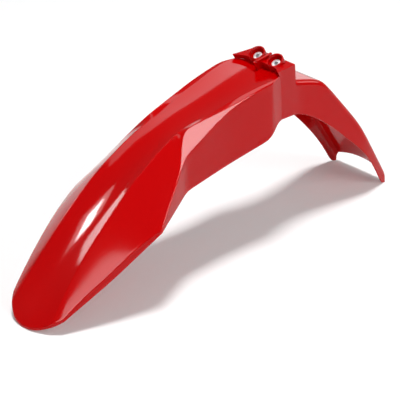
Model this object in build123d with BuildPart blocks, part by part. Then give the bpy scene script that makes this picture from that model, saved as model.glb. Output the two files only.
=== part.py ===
import os
from math import cos, hypot, radians, sin, tan
from typing import NamedTuple

from build123d import *

# Off-road motorcycle front mudguard: one thin moulding, with flanged metal collars in its four bolt holes.
# +X points forward, +Y to the left, +Z up. It lies as it does on a table, on its nose and its two tail
# corners, with the origin on the table below its middle. "Back" is always a distance behind the nose.

# Moulding
WALL = 2.6
DRAFT = 2.5
OVERRUN = 30.0

# Bolt block, which leans forward as its bolts do, the step behind it and the top of the tail
BLOCK_TOP = 264.0
BLOCK_LEAN = 30.0
BLOCK_SIDE_BACK = 454.0
BLOCK_CORNER_BACK = 466.0
BLOCK_CORNER_HALF = 33.0
STEP_BACK = 497.0
STEP_DROP = 28.0
PAD_RUN = 60.0
PAD_DROP = 16.0
PAD_RADIUS = 36.0
TAIL_MID_RUN = 71.0
TAIL_MID_TOP = 134.0
TAIL_MID_RADIUS = 250.0
TAIL_END_RUN = 72.0
TAIL_END_TOP = 25.0
TAIL_SHOULDER = 14.0
STEP_FOOT = BLOCK_TOP - STEP_DROP
PAD_BACK = STEP_BACK + PAD_RUN
PAD_TOP = STEP_FOOT - PAD_DROP
TAIL_MID_BACK = PAD_BACK + TAIL_MID_RUN
TAIL_BACK = TAIL_MID_BACK + TAIL_END_RUN
TOP_LEVEL = BLOCK_TOP + OVERRUN

# Outline seen from above, with half-widths taken at table level
NOSE_CORNER_BACK = 30.0
NOSE_CORNER_HALF = 56.0
RIM_BACK = 101.0
RIM_HALF = 79.5
RIM_RADIUS = 300.0
WING_BACK = 182.0
WING_HALF = 99.0
WING_RADIUS = 10.0
WAIST_BACK = 262.0
WAIST_HALF = 66.5
WAIST_RADIUS = 22.0
FLANK_BACK = 350.0
FLANK_HALF = 61.0
FLANK_RADIUS = 500.0
FORK_BACK = 438.0
FORK_HALF = 66.0
FORK_RADIUS = 16.0
NECK_BACK = 464.0
NECK_HALF = 57.5
NECK_RADIUS = 10.0
THROAT_RUN = 13.0
THROAT_HALF = 53.0
THROAT_RADIUS = 120.0
TAIL_TAPER = 58.0
TAIL_WIDE_HALF = 65.0
TAIL_WIDE_RADIUS = 60.0
TAIL_HALF = 54.0

# Lower rim seen from the side
WING_RIM = 120.0
WAIST_RIM = 145.0
FORK_RIM_BACK = 428.0
FORK_RIM = 167.0
FORK_RIM_RADIUS = 5.0
NECK_RIM_BACK = 456.0
NECK_RIM = 188.0
NECK_RIM_RADIUS = 16.0
THROAT_RIM_BACK = 490.0
TAIL_RIM_AHEAD = 100.0
TAIL_RIM = 113.0
TAIL_FOOT = 10.0

# Leaning facet below each shoulder
FACET_BACK = 282.0
FACET_HALF = 40.4
FACET_HEIGHT = 228.7
FACET_LEAN = 40.0
FACET_SWEEP = 14.0

# Front bolts, in cups that lean forward out of the block, with a web between them
FRONT_SPACING = 38.0
CUP_BACK = 477.5
CUP_RISE = 4.5
CUP_RADIUS = 13.5
CUP_WALL = 2.5
CUP_DEPTH = 7.0
WEB_FRONT_BACK = 452.0
WEB_FRONT_RISE = 2.5
WEB_REAR_BACK = 490.0
WEB_REAR_RISE = 7.0
WEB_DEPTH = 18.0
WEB_WIDTH = 4.0

# Rear bolts, square to the pad behind the step
REAR_RUN = 12.0
REAR_SPACING = 40.0
REAR_BOSS_RADIUS = 11.0

# Collars, and the boss of plastic that each one passes through
BOSS_DEPTH = 12.0
BOLT_BORE = 6.4
COLLAR_WALL = 1.2
COLLAR_FIT = 0.1
FLANGE_RADIUS = 6.8
FLANGE_THICK = 1.2


class FrontLine(NamedTuple):
    back: float
    ridge_half: float
    ridge: float
    dish: float
    fall: float


# Lines of the front: ridge half-width, ridge height, depth of the dished centre panel below the ridges,
# and the angle at which the flank falls away outside the ridge
FRONT = [
    FrontLine(-30, 44, -44, -10, 40),
    FrontLine(0, 44, -3.5, -7.5, 38),
    FrontLine(30, 41.5, 34, 0.5, 36),
    FrontLine(60, 38.5, 68.5, 4.5, 37.5),
    FrontLine(90, 37, 100, 6, 40),
    FrontLine(120, 36.8, 128.3, 6.5, 41),
    FrontLine(150, 36, 153.3, 6.5, 41.5),
    FrontLine(180, 34.6, 175, 6, 42.5),
    FrontLine(210, 33, 193.4, 5.5, 43.8),
    FrontLine(240, 31.5, 209.3, 4.5, 42.5),
    FrontLine(262, 29.8, 218.8, 4, 31),
    FrontLine(280, 29, 224, 3, -12),
    FrontLine(302, 31.5, 229.6, 3, -9),
    FrontLine(330, 36, 236, 4, 1),
    FrontLine(360, 39, 242.6, 4.5, 8),
    FrontLine(390, 42.5, 248.6, 4.5, 13),
    FrontLine(420, 46.5, 253.4, 4.5, 14),
    FrontLine(450, 49, 256, 4.5, 14),
    FrontLine(480, 49, 258, 5, 10),
    FrontLine(510, 49, 260, 5, 8),
]
FLANK_MARGIN = 8.0

# Left side of the outline, from the nose corner to the tail
SIDE = [
    (NOSE_CORNER_BACK, NOSE_CORNER_HALF),
    (RIM_BACK, RIM_HALF),
    (WING_BACK, WING_HALF),
    (WAIST_BACK, WAIST_HALF),
    (FLANK_BACK, FLANK_HALF),
    (FORK_BACK, FORK_HALF),
    (NECK_BACK, NECK_HALF),
    (STEP_BACK + THROAT_RUN, THROAT_HALF),
    (TAIL_BACK - TAIL_TAPER, TAIL_WIDE_HALF),
    (TAIL_BACK, TAIL_HALF),
]
SIDE_RADII = [
    RIM_RADIUS,
    WING_RADIUS,
    WAIST_RADIUS,
    FLANK_RADIUS,
    FORK_RADIUS,
    NECK_RADIUS,
    THROAT_RADIUS,
    TAIL_WIDE_RADIUS,
]

SIDES = (-1, 1)


def x_at(back):
    return TAIL_BACK / 2 - back


def half_at(back):
    if back <= NOSE_CORNER_BACK:
        return NOSE_CORNER_HALF
    for (back_a, half_a), (back_b, half_b) in zip(SIDE, SIDE[1:]):
        if back <= back_b:
            return half_a + (half_b - half_a) * (back - back_a) / (back_b - back_a)
    return TAIL_HALF


def steepness(index):
    before = FRONT[max(index - 1, 0)]
    after = FRONT[min(index + 1, len(FRONT) - 1)]
    run = after.back - before.back
    return hypot(run, after.ridge - before.ridge) / run


def front_section(index, inset):
    line = FRONT[index]
    ridge = line.ridge - inset * steepness(index)
    edge = half_at(line.back) + FLANK_MARGIN
    fall = (edge - line.ridge_half) * tan(radians(line.fall))
    with BuildSketch(Plane.YZ.offset(x_at(line.back))) as section:
        with BuildLine():
            Polyline(
                (line.ridge_half, ridge),
                (edge, ridge - fall),
                (edge, -TOP_LEVEL),
                (-edge, -TOP_LEVEL),
                (-edge, ridge - fall),
                (-line.ridge_half, ridge),
            )
            Bezier((-line.ridge_half, ridge), (0, ridge - 2 * line.dish), (line.ridge_half, ridge))
        make_face()
    return section.sketch


def tail_profile(inset):
    rise = PAD_DROP / PAD_RUN * OVERRUN
    fall = (TAIL_MID_TOP - TAIL_END_TOP) / TAIL_END_RUN * OVERRUN
    start = (x_at(STEP_BACK - OVERRUN), STEP_FOOT + rise)
    end = (x_at(TAIL_BACK + OVERRUN), TAIL_END_TOP - fall)
    with BuildSketch(Plane.XZ) as profile:
        with BuildLine():
            FilletPolyline(
                start,
                (x_at(PAD_BACK), PAD_TOP),
                (x_at(TAIL_MID_BACK), TAIL_MID_TOP),
                end,
                radius=[PAD_RADIUS, TAIL_MID_RADIUS],
            )
            Polyline(end, (end[0], -TOP_LEVEL), (start[0], -TOP_LEVEL), start)
        make_face()
        if inset:
            offset(amount=-inset, mode=Mode.REPLACE)
    return profile.sketch


def outline(level, inset):
    narrowing = level * tan(radians(DRAFT)) + inset
    side = [(x_at(back), half - narrowing) for back, half in SIDE]
    before, last = side[-2:]
    slope = (last[1] - before[1]) / (last[0] - before[0])
    side[-1] = (last[0] - OVERRUN, last[1] - OVERRUN * slope)
    right = [(x, -y) for x, y in side]
    with BuildSketch(Plane.XY.offset(level)) as plan:
        with BuildLine():
            ThreePointArc(right[0], (x_at(inset), 0), side[0])
            FilletPolyline(*side, radius=SIDE_RADII)
            FilletPolyline(*right, radius=SIDE_RADII)
            Polyline(side[-1], right[-1])
        make_face()
    return plan.sketch


def bolt_axis():
    lean = radians(BLOCK_LEAN)
    return Vector(sin(lean), 0, cos(lean))


def block_plan(inset):
    side = x_at(BLOCK_SIDE_BACK + inset)
    corner = x_at(BLOCK_CORNER_BACK + inset)
    step = x_at(STEP_BACK - inset)
    wall = half_at(BLOCK_SIDE_BACK) - BLOCK_TOP * tan(radians(DRAFT))
    edge = wall + FLANK_MARGIN
    with BuildSketch(Plane.XY.offset(BLOCK_TOP - inset)) as plan:
        with BuildLine():
            Polyline(
                (step, edge),
                (side, edge),
                (side, wall),
                (corner, BLOCK_CORNER_HALF),
                (corner, -BLOCK_CORNER_HALF),
                (side, -wall),
                (side, -edge),
                (step, -edge),
                close=True,
            )
        make_face()
    return plan.sketch


def facet_plane(side, inset):
    lean = radians(FACET_LEAN)
    sweep = radians(FACET_SWEEP)
    normal = Vector(cos(lean) * sin(sweep), side * cos(lean) * cos(sweep), sin(lean))
    corner = Vector(x_at(FACET_BACK), side * FACET_HALF, FACET_HEIGHT)
    return Plane(origin=corner - normal * inset, z_dir=normal)


def tail_shoulders(edges, level):
    chosen = []
    for edge in edges:
        box = edge.bounding_box()
        behind = box.max.X < x_at(STEP_BACK) + WALL
        lengthwise = box.size.X > box.size.Y
        if behind and lengthwise and box.min.Z > level and abs(edge.center().Y) > TAIL_HALF / 2:
            chosen.append(edge)
    return chosen


def moulding(level, inset):
    with BuildPart() as body:
        loft([front_section(index, inset) for index in range(len(FRONT))])
        extrude(block_plan(inset), amount=BLOCK_TOP, dir=-bolt_axis())
        split(bisect_by=Plane.YZ.offset(x_at(STEP_BACK - inset)), keep=Keep.TOP)
        extrude(tail_profile(inset), amount=TOP_LEVEL, both=True)
        extrude(outline(level, inset), amount=TOP_LEVEL - level, taper=DRAFT, mode=Mode.INTERSECT)
        for side in SIDES:
            split(bisect_by=facet_plane(side, inset), keep=Keep.BOTTOM)
        fillet(tail_shoulders(body.edges(), level), radius=TAIL_SHOULDER - inset)
    return body.part


def below_rim():
    nose = (x_at(-OVERRUN), -OVERRUN * WING_RIM / WING_BACK)
    throat = (x_at(THROAT_RIM_BACK), NECK_RIM)
    foot = (x_at(TAIL_BACK - TAIL_FOOT), 0)
    end = x_at(TAIL_BACK + OVERRUN)
    with BuildSketch(Plane.XZ) as profile:
        with BuildLine():
            FilletPolyline(
                nose,
                (x_at(WING_BACK), WING_RIM),
                (x_at(WAIST_BACK), WAIST_RIM),
                (x_at(FORK_RIM_BACK), FORK_RIM),
                (x_at(NECK_RIM_BACK), NECK_RIM),
                throat,
                radius=[WING_RADIUS, WAIST_RADIUS, FORK_RIM_RADIUS, NECK_RIM_RADIUS],
            )
            Spline(
                throat,
                (x_at(TAIL_BACK - TAIL_RIM_AHEAD), TAIL_RIM),
                foot,
                tangents=[(-1, 0), (-0.5, -1)],
            )
            Polyline(foot, (end, 0), (end, -2 * TOP_LEVEL), (nose[0], -2 * TOP_LEVEL), nose)
        make_face()
    return profile.sketch


def cup_plane(side):
    origin = (x_at(CUP_BACK), side * FRONT_SPACING / 2, BLOCK_TOP + CUP_RISE)
    return Plane(origin=origin, x_dir=(0, 1, 0), z_dir=bolt_axis())


def pad_plane(side):
    height = STEP_FOOT - PAD_DROP * REAR_RUN / PAD_RUN
    origin = (x_at(STEP_BACK + REAR_RUN), side * REAR_SPACING / 2, height)
    return Plane(origin=origin, x_dir=(0, 1, 0), z_dir=(-PAD_DROP, 0, PAD_RUN))


SLEEVE_RADIUS = BOLT_BORE / 2 + COLLAR_WALL
FRONT_SEATS = [cup_plane(side).offset(-CUP_DEPTH) for side in SIDES]
REAR_SEATS = [pad_plane(side).offset(-FLANGE_THICK) for side in SIDES]

os.makedirs("parts", exist_ok=True)

# The shell: a solid body less the same body drawn one wall smaller, open below the rim and at the tail
with BuildPart() as mudguard_shell:
    add(moulding(0, 0))
    extrude(below_rim(), amount=TOP_LEVEL, both=True, mode=Mode.SUBTRACT)
    split(bisect_by=Plane.YZ.offset(x_at(TAIL_BACK)), keep=Keep.TOP)
    add(moulding(-OVERRUN, WALL), mode=Mode.SUBTRACT)
    # Cups and web of the front bolts, and bosses under the pad for the rear ones
    web_front = x_at(WEB_FRONT_BACK)
    web_foot = web_front - WEB_DEPTH * tan(radians(BLOCK_LEAN))
    with BuildSketch(Plane.XZ):
        with BuildLine():
            Polyline(
                (web_front, BLOCK_TOP + WEB_FRONT_RISE),
                (x_at(WEB_REAR_BACK), BLOCK_TOP + WEB_REAR_RISE),
                (x_at(WEB_REAR_BACK), BLOCK_TOP - WALL),
                (web_foot, BLOCK_TOP + WEB_FRONT_RISE - WEB_DEPTH),
                close=True,
            )
        make_face()
    extrude(amount=WEB_WIDTH / 2, both=True)
    for side in SIDES:
        with BuildSketch(cup_plane(side)):
            Circle(CUP_RADIUS)
        extrude(amount=-CUP_DEPTH - BOSS_DEPTH)
        with BuildSketch(pad_plane(side)):
            Circle(REAR_BOSS_RADIUS)
        extrude(amount=-FLANGE_THICK - BOSS_DEPTH)
    for side in SIDES:
        with BuildSketch(cup_plane(side).offset(-CUP_DEPTH)):
            Circle(CUP_RADIUS - CUP_WALL)
        extrude(amount=OVERRUN, mode=Mode.SUBTRACT)
        with BuildSketch(pad_plane(side).offset(-FLANGE_THICK)):
            Circle(FLANGE_RADIUS + COLLAR_FIT)
        extrude(amount=FLANGE_THICK, mode=Mode.SUBTRACT)
    for seat in FRONT_SEATS + REAR_SEATS:
        with BuildSketch(seat):
            Circle(SLEEVE_RADIUS + COLLAR_FIT)
        extrude(amount=-BOSS_DEPTH, mode=Mode.SUBTRACT)


def collars(seats):
    with BuildPart() as pair:
        for seat in seats:
            with BuildSketch(seat):
                Circle(SLEEVE_RADIUS)
                Circle(BOLT_BORE / 2, mode=Mode.SUBTRACT)
            extrude(amount=-BOSS_DEPTH)
            with BuildSketch(seat):
                Circle(FLANGE_RADIUS)
                Circle(BOLT_BORE / 2, mode=Mode.SUBTRACT)
            extrude(amount=FLANGE_THICK)
    return pair.part


with BuildPart() as front_collars:
    add(collars(FRONT_SEATS))

with BuildPart() as rear_collars:
    add(collars(REAR_SEATS))

mudguard_shell.part.label = "mudguard_shell"
export_step(mudguard_shell.part, "parts/mudguard_shell.step")
front_collars.part.label = "front_collars"
export_step(front_collars.part, "parts/front_collars.step")
rear_collars.part.label = "rear_collars"
export_step(rear_collars.part, "parts/rear_collars.step")
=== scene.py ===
from math import atan2, cos, pi, radians, sin, sqrt, tan

import bmesh
import bpy
from mathutils import Matrix, Vector


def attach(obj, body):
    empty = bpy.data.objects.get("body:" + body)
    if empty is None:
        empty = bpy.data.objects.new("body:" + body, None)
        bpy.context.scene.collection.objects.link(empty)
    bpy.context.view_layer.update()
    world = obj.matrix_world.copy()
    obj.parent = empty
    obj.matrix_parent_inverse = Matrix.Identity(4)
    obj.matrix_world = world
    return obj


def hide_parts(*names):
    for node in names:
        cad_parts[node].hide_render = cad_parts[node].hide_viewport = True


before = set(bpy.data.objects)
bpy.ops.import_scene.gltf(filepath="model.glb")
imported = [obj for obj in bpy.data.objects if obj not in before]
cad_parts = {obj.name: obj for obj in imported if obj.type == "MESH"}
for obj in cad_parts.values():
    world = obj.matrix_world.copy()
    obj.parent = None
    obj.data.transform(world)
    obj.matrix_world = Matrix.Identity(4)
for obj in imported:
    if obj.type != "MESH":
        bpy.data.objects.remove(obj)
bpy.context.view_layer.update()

# Shell: the one-piece injection moulding, a thin skin of red polypropylene with a polished mould finish.
# Its lines are worked out in millimetres at a distance "back" from the nose, then set in the shared frame.
# A coarse net of quads follows the creases, and subdivision rounds them as the mould's own radii do.
MM = 0.001
LENGTH = 700.0
WALL = 2.6
DRAFT = tan(radians(2.5))

# Distance back, ridge half-width, ridge height, depth of the dished panel, and fall of the flank in degrees
FRONT = [
    (-30, 44, -44, -10, 40),
    (0, 44, -3.5, -7.5, 38),
    (30, 41.5, 34, 0.5, 36),
    (60, 38.5, 68.5, 4.5, 37.5),
    (90, 37, 100, 6, 40),
    (120, 36.8, 128.3, 6.5, 41),
    (150, 36, 153.3, 6.5, 41.5),
    (180, 34.6, 175, 6, 42.5),
    (210, 33, 193.4, 5.5, 43.8),
    (240, 31.5, 209.3, 4.5, 42.5),
    (262, 29.8, 218.8, 4, 31),
    (280, 29, 224, 3, -12),
    (302, 31.5, 229.6, 3, -9),
    (330, 36, 236, 4, 1),
    (360, 39, 242.6, 4.5, 8),
    (390, 42.5, 248.6, 4.5, 13),
    (420, 46.5, 253.4, 4.5, 14),
    (450, 49, 256, 4.5, 14),
    (480, 49, 258, 5, 10),
    (510, 49, 260, 5, 8),
]
FLANK_MARGIN = 8.0
FLANK_CROWN = 0.16

# Outline from above: distance back, half-width at table level, and reach of the rounded corner
OUTLINE = [
    (30, 56, 0),
    (101, 79.5, 15),
    (182, 99, 4),
    (262, 66.5, 6),
    (350, 61, 30),
    (438, 66, 5),
    (464, 57.5, 3),
    (510, 53, 6),
    (642, 65, 8),
    (700, 54, 0),
]
NOSE_BACK = 30.0
NOSE_HALF = 56.0
NOSE_RADIUS = (NOSE_BACK**2 + NOSE_HALF**2) / (2 * NOSE_BACK)

# Lower rim and top of the tail from the side: distance back, height, and reach of the rounded corner
RIM = [
    (0, 0, 0),
    (182, 118.4, 4),
    (262, 142.8, 6),
    (345, 152.4, 40),
    (428, 166.3, 3),
    (456, 186, 6),
    (490, 183, 0),
]
TAIL_TOP = [(467, 244, 0), (557, 220, 11), (628, 136.4, 8), (730, -16.6, 0)]
TAIL_SHOULDER = 9.0
TAIL_CROWN = 8.0
CROWN_START = 557.0

# Lower rim along the tail: distance back, height and slope
TAIL_RIM = [(490, 183, -0.09), (600, 113, -0.946), (690, 0, -2)]

# Bolt block, which leans forward over the panel, and the step behind it
BLOCK_TOP = 264.0
BLOCK_FRONT = 466.0
BLOCK_CORNER_HALF = 33.0
BLOCK_BORDER = 8.0
BLOCK_SLANT = 0.77
BLOCK_LEAN = radians(30)
BLOCK_APPROACH = 420.0
BLOCK_UNDERCUT = 6.0
BLOCK_TOE = 2.0
STEP = 497.0
STEP_RUN = 1.2

# Leaning facet that takes off the corner below each shoulder
FACET_CORNER = Vector((282.4, 38.4, 227.0))
FACET_LEAN = radians(40)
FACET_SWEEP = radians(17)
FACET_NORMAL = Vector(
    (-cos(FACET_LEAN) * sin(FACET_SWEEP), cos(FACET_LEAN) * cos(FACET_SWEEP), sin(FACET_LEAN))
)

# Net: distance of the edge loops that hold a crease, the most of a run that they take, steps between creases,
# points down a shoulder and down a wall, and rounds of working out where two faces meet
CREASE = 1.6
LOOP_SHARE = 0.25
PANEL_STEPS = 3
FLANK_STEPS = 2
WALL_STEPS = 2
SHOULDER_POINTS = FLANK_STEPS + 6
WALL_POINTS = WALL_STEPS + 4
EDGE_ROUNDS = 4
BLOCK_ROUNDS = 6

# Rows: distances back ahead of the block, shares along its top, and distances back on the tail
FRONT_ROWS = [30, 32, 36, 42, 50, 60, 74, 90, 106, 122, 138, 154, 166, 174, 179, 182, 185, 190, 200, 214, 228]
FRONT_ROWS += [242, 253, 262, 271, 280, 290, 302, 316, 332, 350, 368, 386, 404, 418, 428, 435, 440, 446, 452]
BLOCK_ROWS = [0, 0.05, 0.2, 0.4, 0.6, 0.8, 0.95, 1]
TAIL_ROWS = [500.5, 506, 516, 530, 544, 556, 567, 580, 598, 616, 630, 644, 660, 676, 686, 692, 698.4, 700]
BLOCK_FACE_SHARES = (0.12, 0.88)
STEP_FACE_SHARES = (0.08, 0.5, 0.92)
MERGE_DISTANCE = 0.01
ROUNDING_LEVEL = 2


def rounded_line(points, back):
    """Value and slope of a line of straight runs, with a parabola round each corner."""
    last = len(points) - 2
    for index in range(last + 1):
        start, value, _ = points[index]
        end, end_value, reach = points[index + 1]
        slope = (end_value - value) / (end - start)
        if index < last and end - reach < back < end + reach:
            beyond, beyond_value, _ = points[index + 2]
            turn = ((beyond_value - end_value) / (beyond - end) - slope) / (2 * reach)
            run = back - end + reach
            return end_value + slope * (back - end) + turn * run**2 / 2, slope + turn * run
        if back <= end or index == last:
            return value + slope * (back - start), slope


def cubic(start, end, back):
    """Value of the cubic between two points of (back, value, slope)."""
    run = end[0] - start[0]
    t = (back - start[0]) / run
    level = (1 + 2 * t) * (1 - t) ** 2 * start[1] + t * t * (3 - 2 * t) * end[1]
    return level + run * (t * (1 - t) ** 2 * start[2] - t * t * (1 - t) * end[2])


# Each front line as ridge half-width, ridge height, dish, and the half-width and height of the flank's edge
SHARP_OUTLINE = [(back, half, 0) for back, half, _ in OUTLINE]
FRONT_LINES = []
for back, ridge_half, ridge, dish, fall in FRONT:
    flank_edge = rounded_line(SHARP_OUTLINE, max(back, NOSE_BACK))[0] + FLANK_MARGIN
    edge_height = ridge - (flank_edge - ridge_half) * tan(radians(fall))
    FRONT_LINES.append((back, (ridge_half, ridge, dish, flank_edge, edge_height)))


def front_line(back):
    """The five values of the front at a distance back, on smooth curves through the lines."""
    index = 1
    while index < len(FRONT_LINES) - 3 and FRONT_LINES[index + 1][0] < back:
        index += 1
    near = FRONT_LINES[index - 1 : index + 3]
    places = [place for place, _ in near]
    values = []
    for a, b, c, d in zip(*[line for _, line in near]):
        before = (c - a) / (places[2] - places[0])
        after = (d - b) / (places[3] - places[1])
        values.append(cubic((places[1], b, before), (places[2], c, after), back))
    return values


def skin_height(back, half, inset):
    """Height of the dished panel or of the flank beside it."""
    ridge_half, ridge, dish, flank_edge, edge_height = front_line(back)
    steepness = front_line(back + 1)[1] - ridge
    lowered = ridge - inset * sqrt(1 + steepness**2)
    if half <= ridge_half:
        return lowered - dish * (1 - (half / ridge_half) ** 2)
    share = (half - ridge_half) / (flank_edge - ridge_half)
    crown = FLANK_CROWN * (flank_edge - ridge_half) * share * (1 - share)
    return lowered + crown + share * (edge_height - ridge)


def wall_half(back, height, inset):
    """Half-width of the drafted wall."""
    half, slope = rounded_line(OUTLINE, back)
    return half - inset - height * DRAFT * sqrt(1 + slope * slope)


def rim_height(back):
    """Height of the lower rim, which meets the table at the nose and at the end of the tail."""
    if back <= TAIL_RIM[0][0]:
        return rounded_line(RIM, back)[0]
    for start, end in zip(TAIL_RIM, TAIL_RIM[1:]):
        if back <= end[0]:
            return cubic(start, end, back)
    return 0.0


def between(start, end, steps):
    """Values between two creases: one close to each of them, and even steps in the middle."""
    close = min(CREASE / abs(end - start), LOOP_SHARE)
    shares = [close + (1 - 2 * close) * step / (steps + 1) for step in range(steps + 2)]
    return [start + (end - start) * share for share in shares]


def point_between(start, end, share):
    """Point part of the way from one point to another."""
    return tuple(a + (b - a) * share for a, b in zip(start, end))


def row_between(first, second, share):
    """Row of points part of the way from one row to another."""
    return [point_between(start, end, share) for start, end in zip(first, second)]


def block_front(half, height, inset):
    """Distance back of the block's front, which leans forward and slants forward outside its two corners."""
    depth = inset * (tan(BLOCK_LEAN) + 1 / cos(BLOCK_LEAN))
    corner_half = BLOCK_CORNER_HALF + depth * (sqrt(1 + BLOCK_SLANT**2) - 1) / BLOCK_SLANT
    top = BLOCK_FRONT + depth - BLOCK_SLANT * max(0.0, half - corner_half)
    return top + (BLOCK_TOP - inset - height) * tan(BLOCK_LEAN)


def block_start(inset):
    """Distance back, half-width and height at which the block's front meets the flank at the wall."""
    back = BLOCK_FRONT
    for _ in range(BLOCK_ROUNDS):
        half = wall_half(back, BLOCK_TOP, inset)
        height = skin_height(back, half, inset)
        back = block_front(half, height, inset)
    return back, half, height


def front_row(edge_back, inset):
    """Points of one row ahead of the block, from the centre line out to the wall and down to the rim."""
    block_foot, foot_half, _ = block_start(inset)
    under = max(0.0, edge_back - BLOCK_APPROACH) / (block_foot - BLOCK_APPROACH)
    edge_half = wall_half(edge_back, 0, inset)
    for _ in range(EDGE_ROUNDS):
        corner = skin_height(edge_back, edge_half, inset)
        edge_half = wall_half(edge_back, corner, inset)

    def row_back(half):
        """Distance back of the row at a half-width: bowed at the nose, and along the block's foot behind."""
        if edge_back < 2 * NOSE_BACK:
            across = NOSE_HALF * half / edge_half
            bow = (NOSE_RADIUS - sqrt(NOSE_RADIUS**2 - across**2)) / NOSE_BACK
            centre = inset + (edge_back - NOSE_BACK) * (2 * NOSE_BACK - inset) / NOSE_BACK
            return centre + (edge_back - centre) * bow
        if edge_back <= BLOCK_APPROACH:
            return edge_back
        foot = block_front(half * foot_half / edge_half, skin_height(BLOCK_FRONT, half, inset), inset)
        return BLOCK_APPROACH + (foot - BLOCK_APPROACH) * under

    def wall_point(height):
        """Point of the wall at a height, moved back under the lean of the block."""
        back = edge_back + under * min(corner - height, BLOCK_UNDERCUT) * tan(BLOCK_LEAN)
        return back, wall_half(back, height, inset), height

    ridge_half = front_line(edge_back)[0]
    for _ in range(EDGE_ROUNDS):
        ridge_half = min(front_line(row_back(ridge_half))[0], edge_half - 3 * CREASE)
    rim = rim_height(edge_back + under * BLOCK_UNDERCUT * tan(BLOCK_LEAN))

    upper_half = edge_half - CREASE / 2
    lower = max(corner - CREASE / 2, rim + CREASE / 2)
    proud = FACET_NORMAL.dot(Vector((edge_back, edge_half, corner)) - FACET_CORNER) + inset
    if proud > 0:
        slope = (corner - skin_height(edge_back, ridge_half, inset)) / (edge_half - ridge_half)
        upper_half = min(upper_half, edge_half - proud / (FACET_NORMAL.y + FACET_NORMAL.z * slope))
        lower = min(lower, corner - proud / (FACET_NORMAL.z - FACET_NORMAL.y * DRAFT))
    upper_half = max(upper_half, ridge_half + CREASE)

    row = []
    halves = [0.0] + between(0, ridge_half, PANEL_STEPS)[1:] + [ridge_half]
    halves[PANEL_STEPS] += (BLOCK_CORNER_HALF - halves[PANEL_STEPS]) * under
    halves += between(ridge_half, upper_half, FLANK_STEPS) + [upper_half]
    for half in halves:
        back = row_back(half)
        row.append((back, half, skin_height(back, half, inset)))
    shoulder = row[-1]
    waist = wall_point(lower)
    width = sqrt((waist[1] - shoulder[1]) ** 2 + (waist[2] - shoulder[2]) ** 2)
    close = min(CREASE / width, LOOP_SHARE)
    for share in (close, 1 - close, 1):
        row.append(point_between(shoulder, waist, share))
    heights = between(lower, rim, WALL_STEPS) + [rim]
    heights[1] += (corner - BLOCK_UNDERCUT - heights[1]) * under
    for height in heights:
        row.append(wall_point(height))
    return row


def block_row(share, inset):
    """Points of one row across the top of the block, from its front edge to the step, and down its wall."""
    top = BLOCK_TOP - inset
    end = STEP - inset
    foot, _, corner = block_start(inset)
    knee = corner - BLOCK_UNDERCUT
    side = foot - (top - corner) * tan(BLOCK_LEAN)
    toe = foot + BLOCK_UNDERCUT * tan(BLOCK_LEAN) + BLOCK_TOE
    edge_back = side + (end - side) * share
    rim_back = toe + (end - toe) * share
    edge_half = wall_half(edge_back, top, inset)
    border_half = edge_half - BLOCK_BORDER
    upper_half = edge_half - CREASE / 2
    row = []
    halves = [0.0] + between(0, border_half, PANEL_STEPS)[1:] + [border_half]
    halves[PANEL_STEPS] += (BLOCK_CORNER_HALF - halves[PANEL_STEPS]) * (1 - share)
    halves += between(border_half, upper_half, FLANK_STEPS) + [upper_half]
    for half in halves:
        front = block_front(half, top, inset)
        row.append((front + (end - front) * share, half, top))
    rim = rim_height(rim_back)
    heights = [top - CREASE / 8, top - CREASE * 3 / 8, top - CREASE / 2, top - CREASE * 3 / 2]
    heights += [knee, (knee + rim) / 2, rim + CREASE, rim]
    for height in heights:
        back = rim_back + (edge_back - rim_back) * max(0.0, (height - knee) / (top - knee))
        eased = max(0.0, height - top + CREASE / 2) / 2
        row.append((back, wall_half(back, height, inset) - eased, height))
    return row


def tail_row(back, inset):
    """Points of one row of the tail: an arched top, a round shoulder and a drafted wall."""
    crown = TAIL_CROWN * max(0.0, (back - CROWN_START) / (LENGTH - CROWN_START))
    ridge, slope = rounded_line(TAIL_TOP, back)
    stretch = sqrt(1 + slope * slope)
    top = ridge - inset * stretch - crown
    radius = TAIL_SHOULDER - inset
    rim = rim_height(back)
    drop = min(radius * stretch, top - rim - 2 * CREASE)
    flat_half = wall_half(back, top - drop, inset) - radius
    row = []
    for half in [0.0] + between(0, flat_half, PANEL_STEPS)[1:] + [flat_half]:
        row.append((back, half, top + crown * (1 - (half / flat_half) ** 2)))
    for step in range(1, SHOULDER_POINTS + 1):
        turn = pi / 2 * step / SHOULDER_POINTS
        row.append((back, flat_half + radius * sin(turn), top - drop * (1 - cos(turn))))
    for height in between(top - drop, rim, WALL_STEPS) + [rim]:
        row.append((back, wall_half(back, height, inset), height))
    return row


def shell_rows(inset):
    """All rows of one skin, from the rim under the nose to the end of the tail."""
    front = [front_row(back, inset) for back in FRONT_ROWS]
    block = [block_row(share, inset) for share in BLOCK_ROWS]
    tail = [tail_row(back, inset) for back in [STEP + STEP_RUN - inset] + TAIL_ROWS]

    # The nose's own wall drops from the front edge in the same steps as the side walls beside it
    nose_edge = front[0][:-WALL_POINTS]
    side_wall = front[0][-WALL_POINTS:]
    nose = []
    for step in range(len(side_wall) - 1, 0, -1):
        share = (side_wall[0][2] - side_wall[step][2]) / (side_wall[0][2] - side_wall[-1][2])
        row = []
        for back, half, height in nose_edge:
            row.append((back, half, height + (rim_height(back) - height) * share))
        nose.append(row + [side_wall[max(step, column)] for column in range(len(side_wall))])

    foot = front_row(block_start(inset)[0], inset)
    rows = nose + front + [foot]
    rows += [row_between(foot, block[0], share) for share in BLOCK_FACE_SHARES] + block
    rows += [row_between(block[-1], tail[0], share) for share in STEP_FACE_SHARES] + tail
    return rows


def add_object(name, data):
    """Puts a new object in the scene, at the origin and unturned."""
    added = bpy.data.objects.new(name, data)
    bpy.context.scene.collection.objects.link(added)
    return added


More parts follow.
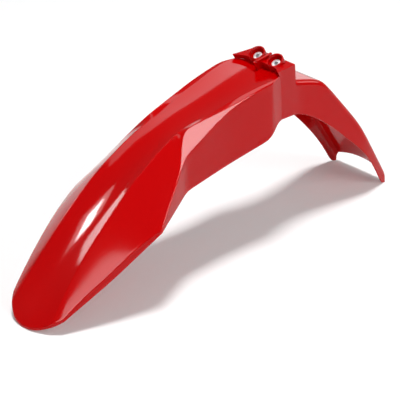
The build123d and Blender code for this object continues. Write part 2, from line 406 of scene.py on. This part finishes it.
def finish_mesh(form, name):
    """Mesh of a form, with its faces turned outward."""
    bmesh.ops.recalc_face_normals(form, faces=form.faces)
    mesh = bpy.data.meshes.new(name)
    form.to_mesh(mesh)
    form.free()
    return mesh


def keep_shape(piece):
    """Gives a piece the shape that its modifiers make, and takes them off."""
    evaluated = piece.evaluated_get(bpy.context.evaluated_depsgraph_get())
    shaped = bpy.data.meshes.new_from_object(evaluated)
    piece.modifiers.clear()
    piece.data = shaped


def shade_smooth(mesh, sharp):
    """Shades a mesh smooth, apart from the edges that turn more than an angle in degrees."""
    for face in mesh.polygons:
        face.use_smooth = True
    mesh.set_sharp_from_angle(angle=radians(sharp))


# Outer and inner skin are two nets by the same rules, and a lip closes them all round the rim
shell_form = bmesh.new()
skins = []
for inset in (0.0, WALL):
    net = []
    for row in shell_rows(inset):
        points = [(back, -half, height) for back, half, height in reversed(row[1:])] + row
        net.append([shell_form.verts.new(((LENGTH / 2 - b) * MM, y * MM, z * MM)) for b, y, z in points])
    skins.append(net)
outer, inner = skins
last_row = len(outer) - 1
last_column = len(outer[0]) - 1
for r in range(last_row):
    for c in range(last_column):
        corners = [(r, c), (r, c + 1), (r + 1, c + 1), (r + 1, c)]
        shell_form.faces.new([outer[i][j] for i, j in corners])
        shell_form.faces.new([inner[i][j] for i, j in reversed(corners)])
lip = [(0, c) for c in range(last_column)] + [(r, last_column) for r in range(last_row)]
lip += [(last_row, c) for c in range(last_column, 0, -1)] + [(r, 0) for r in range(last_row, 0, -1)]
for (i, j), (k, m) in zip(lip, lip[1:] + lip[:1]):
    shell_form.faces.new((outer[k][m], outer[i][j], inner[i][j], inner[k][m]))
bmesh.ops.remove_doubles(shell_form, verts=shell_form.verts, dist=MERGE_DISTANCE * MM)
shell = add_object("shell", finish_mesh(shell_form, "shell"))
rounding = shell.modifiers.new("rounding", "SUBSURF")
rounding.levels = ROUNDING_LEVEL
rounding.render_levels = ROUNDING_LEVEL

# Cups, web and bosses are moulded with the skin, so they are joined to it and then bored
FRONT_SPACING = 38.0
CUP_BACK = 477.5
CUP_HEIGHT = 268.5
CUP_RADIUS = 13.5
CUP_BORE = 11.0
CUP_DEPTH = 7.0
CUP_EDGE = 0.7
CUP_OVERRUN = 8.0
WEB = [(452, 266.5), (490, 271), (490, 261.4), (462.4, 248.5)]
WEB_WIDTH = 4.0
WEB_EDGE = 0.6
REAR_SPACING = 40.0
REAR_BACK = 509.0
REAR_HEIGHT = 232.8
REAR_LEAN = atan2(-16, 60)
REAR_BOSS_RADIUS = 11.0
REAR_BOSS_SUNK = 0.2
BOSS_DEPTH = 12.0
FLANGE_SEAT = 6.9
FLANGE_THICK = 1.2
SEAT_OVERRUN = 5.0
SLEEVE_HOLE = 4.5
SLEEVE_OVERRUN = 1.0
TO_METRES = Matrix.Scale(MM, 4)
TURN_STEPS = 48
EDGE_STEPS = 4
WEB_EDGE_STEPS = 3
SHELL_SHARP = 32


def bolt_place(back, half, height, lean):
    """Place of a bolt axis that leans forward, in the shared frame."""
    turn = Matrix.Rotation(lean, 4, "Y")
    return Matrix.Translation(((LENGTH / 2 - back) * MM, half * MM, height * MM)) @ turn


def turn_solid(form, profile, place, closed=False):
    """Adds a solid turned from a half profile of (radius, height), or a ring if the profile is closed."""
    rings = []
    for radius, height in profile:
        ring = []
        for step in range(TURN_STEPS):
            turn = 2 * pi * step / TURN_STEPS
            ring.append(form.verts.new(place @ Vector((radius * cos(turn), radius * sin(turn), height))))
        rings.append(ring)
    for low, high in zip(rings, rings[1:] + rings[:1] if closed else rings[1:]):
        for step in range(TURN_STEPS):
            after = (step + 1) % TURN_STEPS
            form.faces.new((low[step], low[after], high[after], high[step]))
    if not closed:
        form.faces.new(list(reversed(rings[0])))
        form.faces.new(rings[-1])


def rounded_edge(radius, edge):
    """Points of a cup's rounded rim, from the wall at a radius: a minus edge turns in, a plus edge out."""
    points = []
    for step in range(EDGE_STEPS + 1):
        turn = pi / 2 * step / EDGE_STEPS
        points.append((radius + edge * (1 - cos(turn)), -abs(edge) * (1 - sin(turn))))
    return points


raised = bmesh.new()
bores = bmesh.new()
for side in (-1, 1):
    cup = bolt_place(CUP_BACK, side * FRONT_SPACING / 2, CUP_HEIGHT, BLOCK_LEAN) @ TO_METRES
    cup_foot = -CUP_DEPTH - BOSS_DEPTH
    turn_solid(raised, [(CUP_RADIUS, cup_foot)] + rounded_edge(CUP_RADIUS, -CUP_EDGE), cup)
    bowl = [(SLEEVE_HOLE, cup_foot - SLEEVE_OVERRUN), (SLEEVE_HOLE, -CUP_DEPTH), (CUP_BORE, -CUP_DEPTH)]
    bowl += rounded_edge(CUP_BORE, CUP_EDGE) + [(CUP_BORE + CUP_EDGE, CUP_OVERRUN)]
    turn_solid(bores, bowl, cup)
    pad = bolt_place(REAR_BACK, side * REAR_SPACING / 2, REAR_HEIGHT, REAR_LEAN) @ TO_METRES
    pad_foot = -FLANGE_THICK - BOSS_DEPTH
    turn_solid(raised, [(REAR_BOSS_RADIUS, pad_foot), (REAR_BOSS_RADIUS, -REAR_BOSS_SUNK)], pad)
    seat_bore = [(SLEEVE_HOLE, pad_foot - SLEEVE_OVERRUN), (SLEEVE_HOLE, -FLANGE_THICK)]
    seat_bore += [(FLANGE_SEAT, -FLANGE_THICK), (FLANGE_SEAT, SEAT_OVERRUN)]
    turn_solid(bores, seat_bore, pad)
web_sides = []
for half in (-WEB_WIDTH / 2, WEB_WIDTH / 2):
    web_sides.append([raised.verts.new(((LENGTH / 2 - b) * MM, half * MM, z * MM)) for b, z in WEB])
right_side, left_side = web_sides
raised.faces.new(right_side)
raised.faces.new(list(reversed(left_side)))
for index in range(len(WEB)):
    after = (index + 1) % len(WEB)
    raised.faces.new((right_side[after], right_side[index], left_side[index], left_side[after]))
web_edges = list({edge for corner in right_side + left_side for edge in corner.link_edges})
bmesh.ops.bevel(
    raised, geom=web_edges, offset=WEB_EDGE * MM, segments=WEB_EDGE_STEPS, profile=0.5, affect="EDGES"
)
for form, name, action in ((raised, "raised", "UNION"), (bores, "bores", "DIFFERENCE")):
    joining = shell.modifiers.new(name, "BOOLEAN")
    joining.operation = action
    joining.solver = "EXACT"
    joining.object = add_object(name, finish_mesh(form, name))
keep_shape(shell)
for name in ("raised", "bores"):
    bpy.data.objects.remove(bpy.data.objects[name])
shade_smooth(shell.data, SHELL_SHARP)


def add_pattern(tree, scale, detail):
    """Soft noise in the piece's own coordinates."""
    place = tree.nodes.new("ShaderNodeTexCoord")
    pattern = tree.nodes.new("ShaderNodeTexNoise")
    pattern.inputs["Scale"].default_value = scale
    pattern.inputs["Detail"].default_value = detail
    tree.links.new(place.outputs["Object"], pattern.inputs["Vector"])
    return pattern.outputs["Fac"]


def vary_colour(tree, pattern, first, second):
    """Base colour that runs from one colour to another with a pattern."""
    tint = tree.nodes.new("ShaderNodeMix")
    tint.data_type = "RGBA"
    tint.inputs["A"].default_value = (*first, 1)
    tint.inputs["B"].default_value = (*second, 1)
    tree.links.new(pattern, tint.inputs["Factor"])
    tree.links.new(tint.outputs["Result"], tree.nodes["Principled BSDF"].inputs["Base Color"])


def vary_gloss(tree, pattern, low, high, least, most):
    """Roughness that runs from least to most while a pattern runs from low to high."""
    gloss = tree.nodes.new("ShaderNodeMapRange")
    gloss.inputs["From Min"].default_value = low
    gloss.inputs["From Max"].default_value = high
    gloss.inputs["To Min"].default_value = least
    gloss.inputs["To Max"].default_value = most
    tree.links.new(pattern, gloss.inputs["Value"])
    tree.links.new(gloss.outputs["Result"], tree.nodes["Principled BSDF"].inputs["Roughness"])


def add_relief(tree, pattern, strength, depth):
    """Fine relief that follows a pattern, with its depth in metres."""
    relief = tree.nodes.new("ShaderNodeBump")
    relief.inputs["Strength"].default_value = strength
    relief.inputs["Distance"].default_value = depth
    tree.links.new(pattern, relief.inputs["Height"])
    tree.links.new(relief.outputs["Normal"], tree.nodes["Principled BSDF"].inputs["Normal"])


# The plastic is coloured through; the polished mould leaves a faint ripple and slight changes of gloss
red = bpy.data.materials.new("polished red plastic")
red.use_nodes = True
red.node_tree.nodes["Principled BSDF"].inputs["Specular IOR Level"].default_value = 0.18
flow = add_pattern(red.node_tree, scale=9.0, detail=3.0)
vary_colour(red.node_tree, flow, first=(0.46, 0.0, 0.001), second=(0.51, 0.0, 0.0))
vary_gloss(red.node_tree, flow, low=0.3, high=0.7, least=0.06, most=0.1)
ripple = add_pattern(red.node_tree, scale=160.0, detail=2.0)
add_relief(red.node_tree, ripple, strength=0.05, depth=0.0004)
shell.data.materials.append(red)
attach(shell, "root")
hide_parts("mudguard_shell")

# Collars: turned steel sleeves with a flange, bright zinc plated, two in the cups and two in the rear pads.
# They are pressed in from above, so that the bolts clamp on steel and the plastic isn't crushed.
COLLAR_BORE = 3.2
COLLAR_SLEEVE = 4.4
COLLAR_FLANGE = 6.8
COLLAR_DEPTH = 12.0
COLLAR_SHARP = 40

# Half profile of a collar, with its edges broken and the top of its flange rounded
COLLAR = [
    (COLLAR_BORE, 0.3 - COLLAR_DEPTH),
    (COLLAR_BORE, FLANGE_THICK - 0.4),
    (COLLAR_BORE + 0.12, FLANGE_THICK - 0.12),
    (COLLAR_BORE + 0.4, FLANGE_THICK),
    (COLLAR_FLANGE - 0.5, FLANGE_THICK),
    (COLLAR_FLANGE - 0.15, FLANGE_THICK - 0.15),
    (COLLAR_FLANGE, FLANGE_THICK - 0.5),
    (COLLAR_FLANGE, 0.15),
    (COLLAR_FLANGE - 0.15, 0),
    (COLLAR_SLEEVE, 0),
    (COLLAR_SLEEVE, 0.4 - COLLAR_DEPTH),
    (COLLAR_SLEEVE - 0.4, -COLLAR_DEPTH),
    (COLLAR_BORE + 0.3, -COLLAR_DEPTH),
]
zinc = bpy.data.materials.new("bright zinc")
zinc.use_nodes = True
zinc.node_tree.nodes["Principled BSDF"].inputs["Metallic"].default_value = 1.0
crystals = add_pattern(zinc.node_tree, scale=700.0, detail=4.0)
vary_colour(zinc.node_tree, crystals, first=(0.70, 0.71, 0.73), second=(0.86, 0.86, 0.86))
vary_gloss(zinc.node_tree, crystals, low=0.0, high=1.0, least=0.22, most=0.42)
add_relief(zinc.node_tree, crystals, strength=0.15, depth=0.0001)

# The tree sets a turned collar on two bolt axes, side by side, in their place and at their lean
pair = bpy.data.node_groups.new("collar pair", "GeometryNodeTree")
pair.interface.new_socket("Collar", in_out="INPUT", socket_type="NodeSocketGeometry")
spacing_input = pair.interface.new_socket("Spacing", in_out="INPUT", socket_type="NodeSocketFloat")
place_input = pair.interface.new_socket("Place", in_out="INPUT", socket_type="NodeSocketVector")
lean_input = pair.interface.new_socket("Lean", in_out="INPUT", socket_type="NodeSocketRotation")
finish_input = pair.interface.new_socket("Finish", in_out="INPUT", socket_type="NodeSocketMaterial")
pair.interface.new_socket("Collars", in_out="OUTPUT", socket_type="NodeSocketGeometry")
given = pair.nodes.new("NodeGroupInput")
side_by_side = pair.nodes.new("ShaderNodeCombineXYZ")
half_way = pair.nodes.new("ShaderNodeVectorMath")
half_way.operation = "SCALE"
half_way.inputs["Scale"].default_value = -0.5
axes = pair.nodes.new("GeometryNodeMeshLine")
axes.inputs["Count"].default_value = 2
seated = pair.nodes.new("GeometryNodeInstanceOnPoints")
leaned = pair.nodes.new("GeometryNodeTransform")
real = pair.nodes.new("GeometryNodeRealizeInstances")
plated = pair.nodes.new("GeometryNodeSetMaterial")
result = pair.nodes.new("NodeGroupOutput")
connect = pair.links.new
connect(given.outputs["Spacing"], side_by_side.inputs["Y"])
connect(side_by_side.outputs["Vector"], half_way.inputs[0])
connect(half_way.outputs["Vector"], axes.inputs["Start Location"])
connect(side_by_side.outputs["Vector"], axes.inputs["Offset"])
connect(axes.outputs["Mesh"], seated.inputs["Points"])
connect(given.outputs["Collar"], seated.inputs["Instance"])
connect(seated.outputs["Instances"], leaned.inputs["Geometry"])
connect(given.outputs["Place"], leaned.inputs["Translation"])
connect(given.outputs["Lean"], leaned.inputs["Rotation"])
connect(leaned.outputs["Geometry"], real.inputs["Geometry"])
connect(real.outputs["Geometry"], plated.inputs["Geometry"])
connect(given.outputs["Finish"], plated.inputs["Material"])
connect(plated.outputs["Geometry"], result.inputs["Collars"])

front_seat = bolt_place(CUP_BACK, 0, CUP_HEIGHT, BLOCK_LEAN) @ Vector((0, 0, -CUP_DEPTH * MM))
rear_seat = bolt_place(REAR_BACK, 0, REAR_HEIGHT, REAR_LEAN) @ Vector((0, 0, -FLANGE_THICK * MM))
for node, spacing, seat, lean in (
    ("front_collars", FRONT_SPACING, front_seat, BLOCK_LEAN),
    ("rear_collars", REAR_SPACING, rear_seat, REAR_LEAN),
):
    turned = bmesh.new()
    turn_solid(turned, COLLAR, TO_METRES, closed=True)
    collars = add_object(node + "_dressed", finish_mesh(turned, node + "_dressed"))
    shade_smooth(collars.data, COLLAR_SHARP)
    setting = collars.modifiers.new("pair", "NODES")
    setting.node_group = pair
    setting[spacing_input.identifier] = spacing * MM
    setting[place_input.identifier] = seat
    setting[lean_input.identifier] = (0.0, lean, 0.0)
    setting[finish_input.identifier] = zinc
    keep_shape(collars)
    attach(collars, "root")
    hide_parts(node)

# Floor: a plain white sweep that the mudguard lies on and throws its shadow on.
# What the camera or the gloss sees of it is a little whiter than the light alone makes it.
FLOOR_REACH = 20.0
FLOOR_CORNERS = [(x * FLOOR_REACH, y * FLOOR_REACH, 0) for x, y in ((-1, -1), (1, -1), (1, 1), (-1, 1))]
floor_mesh = bpy.data.meshes.new("floor")
floor_mesh.from_pydata(FLOOR_CORNERS, [], [(0, 1, 2, 3)])
floor = add_object("floor", floor_mesh)
white = bpy.data.materials.new("white floor")
white.use_nodes = True
white_nodes = white.node_tree.nodes
white_links = white.node_tree.links
white_shader = white_nodes["Principled BSDF"]
white_shader.inputs["Base Color"].default_value = (0.9, 0.9, 0.9, 1)
white_shader.inputs["Roughness"].default_value = 0.9
white_shader.inputs["Specular IOR Level"].default_value = 0.0
white_shader.inputs["Emission Color"].default_value = (1, 1, 1, 1)
seen = white_nodes.new("ShaderNodeLightPath")
seen_or_mirrored = white_nodes.new("ShaderNodeMath")
seen_or_mirrored.operation = "ADD"
white_links.new(seen.outputs["Is Camera Ray"], seen_or_mirrored.inputs[0])
white_links.new(seen.outputs["Is Glossy Ray"], seen_or_mirrored.inputs[1])
in_sight = white_nodes.new("ShaderNodeMath")
in_sight.operation = "ADD"
in_sight.use_clamp = True
white_links.new(seen_or_mirrored.outputs["Value"], in_sight.inputs[0])
white_links.new(seen.outputs["Is Transmission Ray"], in_sight.inputs[1])
whitening = white_nodes.new("ShaderNodeMath")
whitening.operation = "MULTIPLY"
whitening.inputs[1].default_value = 0.11
white_links.new(in_sight.outputs["Value"], whitening.inputs[0])
white_links.new(whitening.outputs["Value"], white_shader.inputs["Emission Strength"])
floor.data.materials.append(white)

# Lights: softboxes round the mudguard and a dim room. The first three light the surfaces, and the others are
# strips that only the gloss shows. Each has its bearing and height in degrees, its roll, its width and height
# in metres, its brightness, and whether it lights the surfaces and shows in the gloss.
LIGHT_CENTRE = Vector((0, 0, 0.13))
LIGHT_REACH = 4.0
SOFTBOXES = [
    ("top", 0, 89.9, 0, 0.8, 0.8, 50, True, False),
    ("fill", 100, 30, 0, 2.5, 2.0, 2.8, True, False),
    ("front_fill", 25, 12, 0, 2.5, 1.4, 1.7, True, False),
    ("key", -59, 36.5, 0, 0.5, 0.5, 52, False, True),
    ("key_halo", -59, 37.5, 0, 1.1, 0.7, 5, False, True),
    ("low", -75, 22, 0, 1.2, 0.5, 9.5, False, True),
    ("side", 108, 45, 0, 1.4, 1.3, 17, False, True),
    ("front", 33, 36, 12, 2.6, 1.2, 7, False, True),
    ("front_low", 31, 32, 12, 2.6, 0.8, 8, False, True),
    ("back", 162, 27, 0, 1.2, 0.8, 5, False, True),
    ("far_wall", -138, 6, 0, 3.0, 1.6, 1.2, False, True),
]
POWER_PER_FACE = 4.0
world = bpy.data.worlds.new("studio")
world.use_nodes = True
room = world.node_tree.nodes["Background"]
room.inputs["Color"].default_value = (1, 1, 1, 1)
room.inputs["Strength"].default_value = 0.2
bpy.context.scene.world = world


def add_softbox(name, place, turn, wide, high, brightness, lights, shows):
    """Adds a softbox that is as bright as asked, whatever its size."""
    softbox = bpy.data.lights.new(name, "AREA")
    softbox.shape = "RECTANGLE"
    softbox.size = wide
    softbox.size_y = high
    softbox.energy = POWER_PER_FACE * wide * high * brightness
    lamp = add_object(name, softbox)
    lamp.location = place
    lamp.rotation_euler = turn
    lamp.visible_diffuse = lights
    lamp.visible_glossy = shows


for name, bearing, rise, roll, *make in SOFTBOXES:
    az = radians(bearing)
    el = radians(rise)
    way = Vector((cos(el) * cos(az), cos(el) * sin(az), sin(el)))
    turn = way.to_track_quat("Z", "Y").to_matrix() @ Matrix.Rotation(radians(roll), 3, "Z")
    add_softbox(name, LIGHT_CENTRE + way * LIGHT_REACH, turn.to_euler(), *make)

# A long strip hangs level over the far side, and shows along the top panel
STRIP_PLACE = (-1.72, -2.38, 4.13)
STRIP_TURN = radians(24.7)
add_softbox("ceiling_strip", STRIP_PLACE, (0, 0, STRIP_TURN), 6.5, 1.08, 2.3, False, True)

# Camera: a long lens ahead, to the left and above, far enough off for little perspective.
# Its aim, direction and lens were worked out from the photo, with the mudguard taken as symmetric.
CAMERA_AIM = Vector((0.00645, 0, 0.07637))
CAMERA_WAY = Vector((0.6100, 0.6393, 0.4682))
CAMERA_REACH = 3.0
lens = bpy.data.cameras.new("camera")
lens.lens = 181.65
lens.sensor_width = 36
camera = add_object("camera", lens)
camera.location = CAMERA_AIM + CAMERA_WAY * CAMERA_REACH
camera.rotation_euler = CAMERA_WAY.to_track_quat("Z", "Y").to_euler()
bpy.context.scene.camera = camera

bpy.context.scene.view_settings.view_transform = "Standard"
